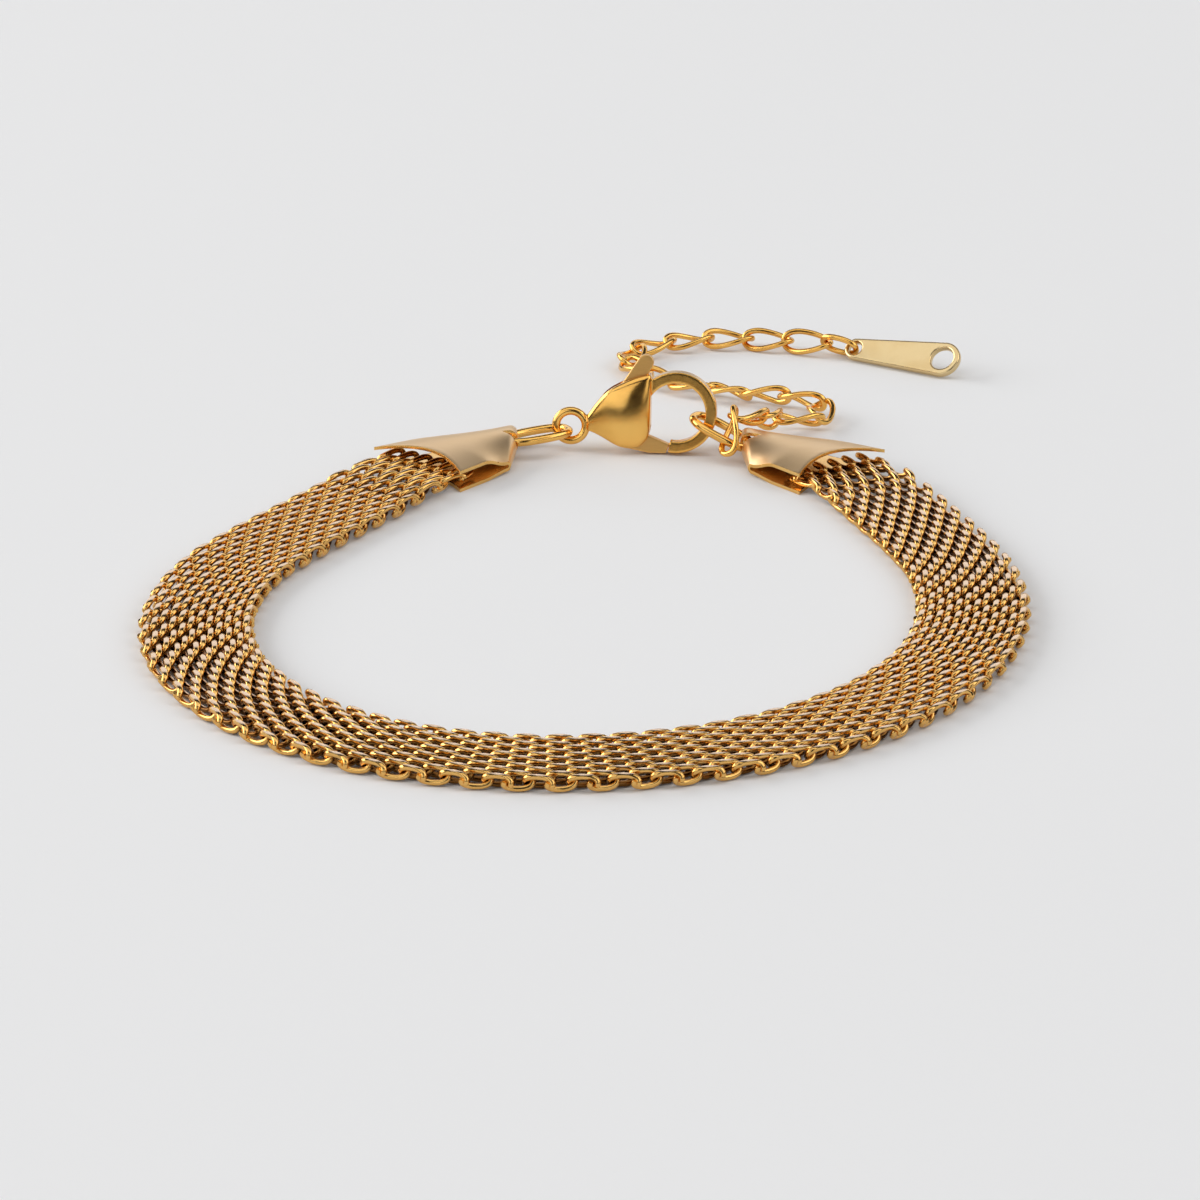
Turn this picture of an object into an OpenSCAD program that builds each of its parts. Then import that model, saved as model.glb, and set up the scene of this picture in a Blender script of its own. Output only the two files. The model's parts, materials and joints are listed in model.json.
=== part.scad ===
// Mesh bracelet with a lobster clasp and an extension chain, lying closed on a surface.
// Millimetres, Z up. The front of the loop is at -Y, the clasp and the chain at +Y.

/* [Band] */
// Length of the woven band along its middle, from cap to cap
band_len = 150; // [130:1:170]
// Width of the woven band
band_w = 8.3; // [6:0.1:11]
// Thickness of the woven band, two crossed wires
band_t = 1.3; // [1:0.05:1.8]
// Thickness of the band's two ends, pressed flat inside the end caps
band_end_t = 0.9; // [0.8:0.05:1.1]
// Length of band held inside each end cap
band_hold = 2.4; // [1.5:0.1:3.2]

/* [End caps] */
// Sheet thickness of the end caps
cap_t = 0.25; // [0.2:0.05:0.4]
// Length of a cap along its short inner edge
cap_front_len = 5.4; // [4.5:0.1:7]
// Width of the fold at the clasp end
cap_fold_w = 7.6; // [7.2:0.1:8]
// Angle between the fold and the mouth that takes the band
cap_wedge = 50; // [44:1:58]
// Clearance between a cap and the band in its mouth
cap_mouth_gap = 0.12; // [0.08:0.01:0.3]
// Height inside the fold at its sides
cap_fold_h = 0.25; // [0.2:0.05:0.5]
// Rise of the arched top plate at the mouth
cap_arch = 0.6; // [0.3:0.05:1.2]
// Rise of the arched fold, which leaves room for the ring
cap_fold_arch = 1.2; // [1.1:0.05:1.4]
// Depth of the curved cut in the mouth edge
cap_mouth_cut = 1.1; // [0.4:0.1:1.6]

/* [Clasp] */
// Outer diameter of the eye
eye_d = 2.9; // [2.8:0.05:3.6]
// Wire thickness of the eye
eye_wire = 0.65; // [0.5:0.05:0.7]
// Distance from the eye to the wide end of the body
clasp_body_len = 6.05; // [5.5:0.05:7]
// Full height of the body
clasp_body_h = 5.5; // [5:0.1:6.5]
// Full thickness of the body at its crown
clasp_body_t = 2.7; // [2.4:0.1:3.2]
// Thickness of the body along its rim
clasp_rim_t = 1.6; // [1.5:0.05:2]
// Middle radius of the hook
hook_r = 2.65; // [2.5:0.05:3]
// Width of the hook bar in the plane of the clasp
hook_w = 0.85; // [0.7:0.05:1]
// Thickness of the hook bar
hook_t = 1.3; // [1:0.1:1.6]
// Angle that the clasp leans back from upright
clasp_lean = 10; // [0:1:20]
// Angle that the clasp turns towards the front at its hook
clasp_yaw = 4; // [0:1:8]

/* [Clasp lever] */
// Thickness of the lever
lever_t = 0.8; // [0.6:0.05:0.9]
// Clearance on each side of the lever in its slot
lever_gap = 0.12; // [0.08:0.01:0.2]
// Diameter of the pivot pin
pin_d = 0.6; // [0.5:0.05:0.7]
// Radial clearance of the pin in the lever
pin_gap = 0.08; // [0.05:0.01:0.12]
// Free swing that the slot leaves the lever, in degrees
lever_swing = 20; // [10:1:24]

/* [Jump rings] */
// Outer length of the two oval rings
ring_len = 5.5; // [5.4:0.05:6]
// Outer width of the two oval rings
ring_width = 3.3; // [3.1:0.05:3.8]
// Wire thickness of the two oval rings
ring_wire = 0.65; // [0.5:0.05:0.7]

/* [Extension chain] */
// Number of oval links
link_count = 17; // [12:1:17]
// Outer length of a link
link_len = 4.2; // [4:0.05:4.3]
// Outer width of a link
link_width = 2.2; // [2:0.05:2.4]
// Wire thickness of a link
link_wire = 0.38; // [0.3:0.01:0.42]
// Twist of a link along its length, so that the chain lies flat
link_twist = 80; // [70:1:90]

/* [Tag] */
// Distance between the centres of the tag's two round ends
tag_len = 7.6; // [6:0.1:9]
// Radius of the wide end
tag_big_r = 1.45; // [1.4:0.05:1.8]
// Radius of the narrow end
tag_small_r = 0.9; // [0.85:0.05:1.1]
// Thickness of the tag
tag_t = 0.6; // [0.5:0.05:0.8]
// Diameter of the hole in the wide end
tag_hole_d = 1.85; // [1.4:0.05:2]
// Diameter of the hole that takes the last link
tag_eye_d = 1.1; // [1:0.05:1.2]
// Angle between the tag and the surface that it leans on
tag_lean = 44; // [36:1:55]
// Outer length of the link that holds the tag
tag_link_len = 3.35; // [3.2:0.05:3.6]
// Outer width of the link that holds the tag
tag_link_width = 1.9; // [1.8:0.05:2.1]
// Wire thickness of the link that holds the tag
tag_link_wire = 0.42; // [0.36:0.01:0.46]

/* [Hidden] */

// Where the clasp's eye stands, so that the whole lies centred about the origin
eye_xy = [-1.26, 21.37];
// Plan directions of the two rings, each pointing away from the clasp
ring_turn_left = 201;
ring_turn_right = -24;
// Places on the eye and on the hook where the rings pull
eye_pull_angle = 205;
hook_pull_angle = -20;
// Free play of a ring on a cap's fold, on the eye and on the flat hook bar
fold_play = 0.55;
eye_play = 0.17;
hook_play = 0.5;
// Height of a ring inside its fold, as a share, its place towards the back from the fold's
// middle, and how far it tips down at the back
ring_level = 0.58;
ring_aside = 0.55;
ring_tip = 5;
// Width of the strip of sheet that a ring goes round
strip_w = 0.7;
// Lift that keeps every piece just clear of the surface
rest_gap = 0.02;
// Rise of a cap's lower plate from its mouth to its fold
cap_lift = 0.2;
// Room round a ring where it passes through the fold
ring_room = 0.17;
// Length of the slope that lifts the band into a cap
band_ramp = 9;
// Length over which the band is pressed thinner towards a cap
band_press = 4;
// Slack between neighbouring links, which lie loose
link_slack = 0.26;
// Sides of round wires and segments round a link or a ring
wire_sides = 6;
end_steps = 6;
ring_end_steps = 8;

// The band's plan as arcs: share of its length, turn in degrees
loop_bends = [
    [0.13, 4], [0.11, 32], [0.13, 42], [0.12, 42], [0.13, 39], [0.13, 38], [0.13, 33],
    [0.08, 5], [0.04, 12]];

// The clasp body from its neck to its wide end: share of the length, then the top and
// the bottom as shares of the height, and the crown as a share of the thickness
clasp_sections = [
    [0.00, 0.17, -0.05, 0.50], [0.13, 0.33, -0.09, 0.66], [0.27, 0.47, -0.15, 0.80],
    [0.39, 0.55, -0.21, 0.90], [0.52, 0.61, -0.26, 0.97], [0.67, 0.67, -0.28, 1.00],
    [0.80, 0.71, -0.26, 0.97], [0.90, 0.73, -0.19, 0.90], [0.97, 0.74, -0.10, 0.80],
    [1.00, 0.74, 0.02, 0.66]];
// Place where the body starts, beside the eye, and height of the hook's top in the body
neck_x = 1.3;
hook_top = 0.705;
// Ends of the hook's arc in degrees, and how far its middle stands out from the body
hook_from = -101;
hook_to = 148;
hook_out = 0.717;
// Gap between the hook's end and the lever's jaw
jaw_gap = 0.17;

// The lever's pivot, as shares of the body's length and height
pivot_share = [0.547, -0.055];
// Outlines of the lever's jaw and of its arm about the pivot. The jaw's lengths are shares
// of its reach, and the arm's are shares of the body's height
jaw_outline = [
    [-0.09, -0.21], [0.08, -0.35], [0.55, -0.44], [0.92, -0.44], [1.00, -0.26], [0.56, -0.08],
    [0.21, 0.09], [0.00, 0.15]];
arm_outline = [
    [-0.125, 0.036], [-0.055, 0.60], [-0.007, 0.664], [0.221, 1.014], [0.407, 0.900],
    [0.255, 0.636], [0.164, 0.236], [0.127, 0.036]];
hub_share = 0.138;
// The thumb tab at the arm's end: its centre and its radius
tab_share = [0.313, 0.955];
tab_r_share = 0.109;

// The chain's route in plan from where it hangs on the ring, with its lift above the
// height at which its links lie
chain_route = [
    [-0.1, -0.6, 0.3], [0.4, 1.6, 2.6], [2.4, 3.7, 1.9], [3.5, 6.4, 0.7], [6.4, 7.0, 0.3],
    [7.6, 9.7, 0.3], [5.2, 11.8, 0.3], [2.0, 12.9, 0.1], [-0.6, 14.6, 0.0],
    [-3.1, 15.7, 0.0], [-5.6, 17.9, 0.0], [-7.6, 20.6, 0.0], [-7.5, 23.9, 0.0],
    [-5.0, 26.1, 0.0], [-2.0, 27.2, 0.0], [1.0, 27.4, 0.0], [4.1, 26.8, 0.1],
    [7.1, 25.9, 0.3], [10.2, 24.8, 0.2]];
// Place of the first link along the right ring, from the ring's middle
chain_on_ring = 1.4;
// Steps of the route's curve between two of its points
route_steps = 12;
// Lean of the first links, where the chain comes down from the ring, and of the last links
first_rolls = [-60, -30, -40, -20, 10, 40, 40, 20, 10];
last_rolls = [12, 25, 38];
// Lean of the link that holds the tag, and its slack on the last link
tag_link_roll = 116;
tag_slack = 0.16;
// Turn of the tag in plan
tag_turn = -29;

function link_name(i) = str("link_", i < 9 ? "0" : "", i + 1);
function unit(v) = v / norm(v);
function mix(a, b, t) = a + (b - a) * t;
function clamp01(t) = min(1, max(0, t));
function ease(t) = let (c = clamp01(t)) c * c * (3 - 2 * c);
function dome(v) = 4 * v * (1 - v);
function heading(a) = [cos(a), sin(a)];
function xyz(p, z) = [p[0], p[1], z];
function total(list, i = 0) = i >= len(list) ? 0 : list[i] + total(list, i + 1);

// Places a shape by the directions of its three axes
module placed(at, x, y, z) {
    multmatrix([
        [x[0], y[0], z[0], at[0]],
        [x[1], y[1], z[1], at[1]],
        [x[2], y[2], z[2], at[2]],
        [0, 0, 0, 1]]) children();
}

// Skin over closed rings of points: each ring has n points, capped flat at both ends
function ring_skin(rings, n) = [
    for (i = [0 : rings - 2], j = [0 : n - 1], k = [0, 1])
        let (a = i * n + j, b = i * n + (j + 1) % n, c = a + n, d = b + n)
            k == 0 ? [a, b, d] : [a, d, c]];

// Adds the two flat ends to such a skin, and turns it the other way round if asked
function capped(skin, rings, n, turned) =
    let (all = concat(skin, [[for (j = [n - 1 : -1 : 0]) j]], [[for (j = [0 : n - 1]) (rings - 1) * n + j]]))
        turned ? [for (f = all) [for (j = [len(f) - 1 : -1 : 0]) f[j]]] : all;

// An oval link of round wire in the XY plane, long axis on X, twisted along its length
module oval_link(length, width, wire, steps, twist = 0) {
    r = (width - wire) / 2;
    half = length / 2 - width / 2;
    n = 2 * (steps + 1);
    stations = [
        for (side = [0, 1], i = [0 : steps])
            let (a = side * 180 - 90 + 180 * i / steps)
                [(side == 0 ? half : -half), a]];
    points = [
        for (s = stations, j = [0 : wire_sides - 1])
            let (
                t = 360 * (j + 0.5) / wire_sides,
                out = heading(s[1]) * (r + cos(t) * wire / 2),
                x = s[0] + out[0],
                turn = -twist * x / length,
                y = out[1], z = sin(t) * wire / 2)
                [x, y * cos(turn) - z * sin(turn), y * sin(turn) + z * cos(turn)]];
    faces = [
        for (i = [0 : n - 1], j = [0 : wire_sides - 1], k = [0, 1])
            let (
                a = i * wire_sides + j, b = i * wire_sides + (j + 1) % wire_sides,
                c = ((i + 1) % n) * wire_sides + j,
                d = ((i + 1) % n) * wire_sides + (j + 1) % wire_sides)
                k == 0 ? [a, b, d] : [a, d, c]];
    polyhedron(points, faces, convexity = 6);
}

// Heights of a cap: its lower plate, and the room inside it
cap_mouth_h = band_end_t + 2 * cap_mouth_gap;
cap_ring_z = rest_gap + cap_lift + cap_t + (cap_fold_h + cap_fold_arch) * ring_level;

// The clasp: height of its eye, and its directions
hook_centre = [clasp_body_len + hook_r * hook_out, clasp_body_h * hook_top - hook_r];
hook_low = hook_r + hook_w / 2 - hook_centre[1];
eye_z = rest_gap + hook_low * cos(clasp_lean) + hook_t / 2 * sin(clasp_lean);
eye_at = xyz(eye_xy, eye_z);
eye_r = (eye_d - eye_wire) / 2;
clasp_x = [cos(clasp_yaw), -sin(clasp_yaw), 0];
clasp_up = [sin(clasp_yaw) * sin(clasp_lean), cos(clasp_yaw) * sin(clasp_lean), cos(clasp_lean)];
clasp_out = cross(clasp_x, clasp_up);
function on_clasp(p) = eye_at + p[0] * clasp_x + p[1] * clasp_up;

// The rings: where each pulls on the clasp, and how far away the fold's middle is
function ring_reach(bar, play) = ring_len - 2 * ring_wire - bar / 2 - cap_t / 2 - fold_play - play;
pull_left = on_clasp(eye_r * heading(eye_pull_angle));
pull_right = on_clasp(hook_centre + hook_r * heading(hook_pull_angle));
reach_left = ring_reach(eye_wire, eye_play);
reach_right = ring_reach(hook_w, hook_play);
fold_bulge = (cap_fold_h + cap_fold_arch) / 2 + cap_t / 2;
function pulled(from, turn, reach) =
    let (rise = cap_ring_z - from[2])
        from + xyz(heading(turn) * sqrt(reach * reach - rise * rise), rise);
fold_pull_left = pulled(pull_left, ring_turn_left, reach_left);
fold_pull_right = pulled(pull_right, ring_turn_right, reach_right);
ring_axis_left = unit(fold_pull_left - pull_left);
ring_axis_right = unit(fold_pull_right - pull_right);
// A ring's centre: its end at the cap reaches past the fold's wall
ring_over = ring_len / 2 - ring_wire - cap_t / 2 - fold_play;
ring_mid_left = fold_pull_left - ring_axis_left * ring_over;
ring_mid_right = fold_pull_right - ring_axis_right * ring_over;

// The middle of each fold in plan. side is 1 for the left cap and -1 for the right
fold_left = [fold_pull_left[0] - fold_bulge, fold_pull_left[1] - ring_aside];
fold_right = [fold_pull_right[0] + fold_bulge, fold_pull_right[1] - ring_aside];
function fold_at(side) = side > 0 ? fold_left : fold_right;
function flip(p, side) = [p[0] * side, p[1]];
// Corners of a cap in its own plan, with its fold on the Y axis and its body at -X
cap_dir = heading(180 + cap_wedge);
cap_across = heading(90 + cap_wedge);
cap_front = [0, -cap_fold_w / 2];
cap_mouth_w = band_w + 2 * cap_mouth_gap;
function fold_point(v) = [0, cap_fold_w * (v - 0.5)];
function mouth_point(v) = cap_front + cap_dir * cap_front_len + cap_across * cap_mouth_w * v;
function band_end(side) = fold_at(side) + flip(mouth_point(0.5), side);

// Outlines of a cap's sheet at the share v of its width, as distance from the fold and
// height, from the lower plate's mouth round the fold to the top plate's mouth
plate_steps = 7;
fold_steps = 8;
function cap_reach(v) = norm(mouth_point(v) - fold_point(v));
function sheet_end(v) = cap_reach(v) - cap_mouth_cut * dome(v);
function fold_h(v) = cap_fold_h + cap_fold_arch * dome(v);
function slope(v, r) = ease(r / (cap_reach(v) - band_hold - cap_mouth_gap * 4));
function low_z(v, r) = rest_gap + cap_lift * (1 - slope(v, r));
function room_h(v, r) = mix(fold_h(v), cap_mouth_h + cap_arch * dome(v), slope(v, r));
function sheet_line(v, out) = concat(
    [for (i = [0 : plate_steps])
        let (r = sheet_end(v) * (1 - i / plate_steps))
            [r, low_z(v, r) + cap_t * (1 - out)]],
    [for (i = [1 : fold_steps - 1])
        let (a = 270 - 180 * i / fold_steps, h = fold_h(v) / 2)
            [(h + cap_t * out) * cos(a), low_z(v, 0) + cap_t + h + (h + cap_t * out) * sin(a)]],
    [for (i = [0 : plate_steps])
        let (r = sheet_end(v) * i / plate_steps)
            [r, low_z(v, r) + cap_t + room_h(v, r) + cap_t * out]]);

module cap_sheet() {
    across = 12;
    lines = [
        for (i = [0 : across])
            let (v = i / across, d = unit(mouth_point(v) - fold_point(v)))
                [for (p = concat(sheet_line(v, 1), sheet_line(v, 0))) xyz(fold_point(v) + d * p[0], p[1])]];
    m = len(lines[0]) / 2;
    // Each section runs along the outside and back along the inside
    sections = [for (l = lines) [for (k = [0 : 2 * m - 1]) k < m ? l[k] : l[3 * m - 1 - k]]];
    n = 2 * m;
    points = [for (s = sections, p = s) p];
    caps = [
        for (k = [0 : m - 2], e = [0, 1], h = [0, 1])
            let (o = e * across * n, a = o + k, b = o + k + 1, c = o + n - 1 - k, d = o + n - 2 - k)
                e == 0 ? (h == 0 ? [a, c, b] : [b, c, d]) : (h == 0 ? [a, b, c] : [b, d, c])];
    polyhedron(points, concat(ring_skin(across + 1, n), caps), convexity = 8);
}

// Directions of a ring: across it towards the back, and up
function ring_far(axis) =
    let (w = unit(cross([0, 0, 1], axis)), far = w * sign(w[1]), up = cross(axis, w))
        far * cos(ring_tip) - up * sin(ring_tip);
function ring_up(axis) = let (far = ring_far(axis), up = cross(axis, far)) up * sign(up[2]);
module on_ring(axis, mid) {
    far = ring_far(axis);
    up = ring_up(axis);
    placed(mid, cross(far, up), far, up) children();
}

// Openings for a ring in its fold: its near bar lies above the lower sheet and its far bar
// below the upper one, so the strip between them is held in the ring
module ring_openings(side) {
    arc_x = -side * (ring_len - ring_width) / 2;
    r = ring_width / 2 + ring_room;
    tall = 4;
    for (across = [-1, 1])
        translate([0, 0, across * (ring_wire / 2 + ring_room - tall / 2)])
            linear_extrude(height = tall, center = true)
                intersection() {
                    union() {
                        translate([arc_x, 0]) circle(r = r, $fn = 64);
                        translate([arc_x / 2, 0]) square([abs(arc_x), 2 * r], center = true);
                    }
                    translate([0, across * (strip_w / 2 + r)]) square([6 * r, 2 * r], center = true);
                }
}

module end_cap(side) {
    color("burlywood")
        difference() {
            translate(xyz(fold_at(side), 0))
                mirror([side > 0 ? 0 : 1, 0, 0])
                    cap_sheet();
            if (side > 0) on_ring(ring_axis_left, ring_mid_left) ring_openings(side);
            else on_ring(ring_axis_right, ring_mid_right) ring_openings(side);
        }
}
module end_cap_left() { end_cap(1); }
module end_cap_right() { end_cap(-1); }

module jump_ring(axis, mid) {
    color("goldenrod")
        on_ring(axis, mid) oval_link(ring_len, ring_width, ring_wire, ring_end_steps);
}
module jump_ring_left() { jump_ring(ring_axis_left, ring_mid_left); }
module jump_ring_right() { jump_ring(ring_axis_right, ring_mid_right); }

// The band's middle line. Its bends are scaled together until its ends meet both caps
function chord(l, t, a) =
    l * (abs(t) < 0.01 ? 1 : sin(t / 2) / (t / 2 * PI / 180)) * heading(a + t / 2);
function walk(f, i = 0, p = [0, 0], a = 0) =
    i >= len(loop_bends) ? p
        : let (t = loop_bends[i][1] * f)
            walk(f, i + 1, p + chord(loop_bends[i][0] * band_len, t, a), a + t);
band_span = band_end(-1) - band_end(1);
function bend_factor(lo, hi, n) =
    let (f = (lo + hi) / 2)
        n == 0 ? f : norm(walk(f)) > norm(band_span) ? bend_factor(f, hi, n - 1) : bend_factor(lo, f, n - 1);
loop_factor = bend_factor(0.7, 1.3, 30);
loop_chord = walk(loop_factor);
loop_start = atan2(band_span[1], band_span[0]) - atan2(loop_chord[1], loop_chord[0]);
function band_turn(i) = loop_start + loop_factor * total([for (k = [0 : 1 : i - 1]) loop_bends[k][1]]);
function band_corner(i, k = 0, p = [0, 0]) =
    k >= i ? p : band_corner(i, k + 1,
        p + chord(loop_bends[k][0] * band_len, loop_bends[k][1] * loop_factor, band_turn(k)));
corners = [for (i = [0 : len(loop_bends)]) band_corner(i) + band_end(1)];
band_steps = 9;
// Stations along the band: place, direction and distance from the first cap's mouth
band_line = concat(
    [[corners[0] - heading(band_turn(0)) * band_hold, band_turn(0), -band_hold]],
    [for (i = [0 : len(loop_bends) - 1], k = [0 : band_steps - 1])
        let (
            l = loop_bends[i][0] * band_len, t = loop_bends[i][1] * loop_factor, u = k / band_steps,
            before = band_len * total([for (j = [0 : 1 : i - 1]) loop_bends[j][0]]))
            [corners[i] + chord(l * u, t * u, band_turn(i)), band_turn(i) + t * u, before + l * u]],
    let (last = len(loop_bends), a = band_turn(last))
        [[corners[last], a, band_len], [corners[last] + heading(a) * band_hold, a, band_len + band_hold]]);
function band_lift(s) =
    mix(rest_gap + cap_t + cap_mouth_gap, rest_gap, ease(min(s, band_len - s) / band_ramp));
function band_thick(s) = mix(band_end_t, band_t, ease(min(s, band_len - s) / band_press));
band_section = [
    [-0.5, 0.30], [-0.46, 0.06], [-0.40, 0.0], [0.40, 0.0], [0.46, 0.06], [0.5, 0.30],
    [0.5, 0.70], [0.46, 0.94], [0.40, 1.0], [-0.40, 1.0], [-0.46, 0.94], [-0.5, 0.70]];

module mesh_band() {
    n = len(band_section);
    rings = len(band_line);
    points = [
        for (s = band_line, q = band_section)
            xyz(s[0] + heading(s[1] + 90) * q[0] * band_w, band_lift(s[2]) + q[1] * band_thick(s[2]))];
    color("tan") polyhedron(points, capped(ring_skin(rings, n), rings, n, true), convexity = 8);
}

// The clasp is built flat, with its eye at the origin, and then stood up
module clasp_frame() { placed(eye_at, clasp_x, clasp_up, clasp_out) children(); }
slot_t = lever_t + 2 * lever_gap;

module clasp_shell() {
    rows = 8;
    n = 2 * (rows + 1);
    points = [
        for (s = clasp_sections, side = [1, -1], i = [0 : rows])
            let (
                u = side > 0 ? i / rows : 1 - i / rows,
                y = mix(s[2], s[1], u) * clasp_body_h,
                rim = clasp_rim_t / 2 * min(1, s[3] * 1.2),
                z = rim + (clasp_body_t * s[3] / 2 - rim) * sqrt(max(0, dome(u))))
                [neck_x + s[0] * (clasp_body_len - neck_x), y, side * z]];
    rings = len(clasp_sections);
    polyhedron(points, capped(ring_skin(rings, n), rings, n, false), convexity = 6);
}

pivot = [neck_x + pivot_share[0] * (clasp_body_len - neck_x), pivot_share[1] * clasp_body_h];
jaw_reach = norm(hook_centre + (hook_r + hook_w / 2) * heading(hook_from) - pivot) - jaw_gap;

module lever_plate(height) {
    linear_extrude(height = height, center = true) polygon(jaw_outline * jaw_reach);
    linear_extrude(height = height, center = true) polygon(arm_outline * clasp_body_h);
    cylinder(h = height, r = hub_share * clasp_body_h, center = true, $fn = 48);
    translate(tab_share * clasp_body_h)
        cylinder(h = height, r = tab_r_share * clasp_body_h, center = true, $fn = 48);
}

// The slot is what the lever sweeps, with its clearance
module lever_slot() {
    sweep_steps = 5;
    translate(pivot)
        linear_extrude(height = slot_t, center = true)
            offset(r = lever_gap, $fn = 16)
                projection(cut = true)
                    for (i = [0 : sweep_steps]) rotate(lever_swing * i / sweep_steps) lever_plate(1);
}

module clasp_body() {
    color("goldenrod")
        clasp_frame() {
            difference() {
                union() {
                    clasp_shell();
                    rotate_extrude($fn = 64) translate([eye_r, 0]) circle(d = eye_wire, $fn = 24);
                    translate(hook_centre)
                        rotate([0, 0, hook_from])
                            rotate_extrude(angle = hook_to - hook_from, $fn = 96)
                                translate([hook_r - hook_w / 2, -hook_t / 2]) square([hook_w, hook_t]);
                }
                lever_slot();
            }
            translate(pivot) cylinder(h = slot_t + lever_gap, d = pin_d, center = true, $fn = 32);
        }
}

module clasp_lever() {
    color("goldenrod")
        clasp_frame()
            translate(pivot)
                difference() {
                    lever_plate(lever_t);
                    cylinder(h = lever_t + 2, r = pin_d / 2 + pin_gap, center = true, $fn = 32);
                }
}

// The chain hangs on the right ring's near side and lies on the surface
link_rest = rest_gap + (link_width - link_wire) / 2 * sin(link_twist / 2) + link_wire / 2;
chain_at = ring_mid_right + ring_axis_right * chain_on_ring
    - ring_far(ring_axis_right) * (ring_width - ring_wire) / 2;
route = [for (p = chain_route) [chain_at[0] + p[0], chain_at[1] + p[1], link_rest + p[2]]];
function spline(a, b, c, d, t) =
    0.5 * (2 * b + (c - a) * t + (2 * a - 5 * b + 4 * c - d) * t * t + (3 * b - a - 3 * c + d) * t * t * t);
last_point = len(route) - 1;
fine_route = [
    for (i = [0 : last_point - 1], k = [0 : route_steps - 1])
        spline(route[max(i - 1, 0)], route[i], route[i + 1], route[min(i + 2, last_point)], k / route_steps)];
link_pitch = link_len - 2 * link_wire - link_slack;
function reach_on(p, j) =
    j >= len(fine_route) - 1 || norm(fine_route[j] - p) >= link_pitch ? j : reach_on(p, j + 1);
function joint_list(n, p, j) =
    n == 0 ? [p]
        : let (
            k = reach_on(p, j), a = fine_route[k - 1], b = fine_route[k],
            da = norm(a - p), db = norm(b - p),
            q = mix(a, b, (link_pitch - da) / (db - da)))
            concat([p], joint_list(n - 1, q, k));
joints = joint_list(link_count, fine_route[0], 1);

// Stands a shape along the line from a to b, leaning to its side
module along(a, b, roll) {
    x = unit(b - a);
    side = unit(cross([0, 0, 1], x));
    up = cross(x, side);
    placed((a + b) / 2, x, side * cos(roll) + up * sin(roll), up * cos(roll) - side * sin(roll)) children();
}
function roll_of(i) =
    let (late = i - link_count + len(last_rolls))
        i < len(first_rolls) ? first_rolls[i] : late >= 0 ? last_rolls[late] : 0;

module chain_link(i) {
    color("goldenrod")
        along(joints[i], joints[i + 1], roll_of(i))
            oval_link(link_len, link_width, link_wire, end_steps, link_twist);
}

// The link that joins the chain to the tag: the tag's eye sits round its far wire
chain_end = joints[link_count];
tag_pull = unit(xyz(heading(tag_turn) * tag_link_len, tag_height(tag_small_r) - chain_end[2]));
tag_joint = chain_end + tag_pull * (tag_link_len - 2 * tag_link_wire - tag_slack);
module tag_link() {
    color("goldenrod")
        along(chain_end, tag_joint, tag_link_roll)
            oval_link(tag_link_len, tag_link_width, tag_link_wire, end_steps);
}

// The tag leans on its long lower edge
function tag_height(r) = rest_gap + r * sin(tag_lean) + tag_t / 2 * cos(tag_lean);
tag_rise = asin((tag_height(tag_big_r) - tag_height(tag_small_r)) / tag_len);
tag_axis = [cos(tag_turn) * cos(tag_rise), sin(tag_turn) * cos(tag_rise), sin(tag_rise)];
tag_level = unit(cross([0, 0, 1], tag_axis));
tag_up = cross(tag_axis, tag_level);
tag_side = tag_level * cos(tag_lean) + tag_up * sin(tag_lean);
tag_eye_at = tag_joint + tag_pull * (tag_slack + tag_link_wire) / 2;
tag_small_at = [tag_eye_at[0], tag_eye_at[1], tag_height(tag_small_r)];
// Angle at which the straight edges leave the round ends
tag_taper = acos((tag_big_r - tag_small_r) / tag_len);

module tag() {
    color("gold")
        placed(tag_small_at, tag_axis, tag_side, cross(tag_axis, tag_side))
            difference() {
                union() {
                    cylinder(h = tag_t, r = tag_small_r, center = true, $fn = 64);
                    translate([tag_len, 0]) cylinder(h = tag_t, r = tag_big_r, center = true, $fn = 96);
                    linear_extrude(height = tag_t, center = true)
                        polygon([
                            tag_small_r * heading(180 - tag_taper),
                            [tag_len, 0] + tag_big_r * heading(180 - tag_taper),
                            [tag_len, 0] + tag_big_r * heading(180 + tag_taper),
                            tag_small_r * heading(180 + tag_taper)]);
                }
                cylinder(h = tag_t + 2, d = tag_eye_d, center = true, $fn = 48);
                translate([tag_len, 0]) cylinder(h = tag_t + 2, d = tag_hole_d, center = true, $fn = 64);
            }
}

mesh_band();
end_cap_left();
end_cap_right();
jump_ring_left();
jump_ring_right();
clasp_body();
clasp_lever();
for (i = [0 : link_count - 1]) chain_link(i);
tag_link();
tag();
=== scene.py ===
import json
import math
import random

import bpy
import numpy as np
from mathutils import Matrix, Vector


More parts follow.
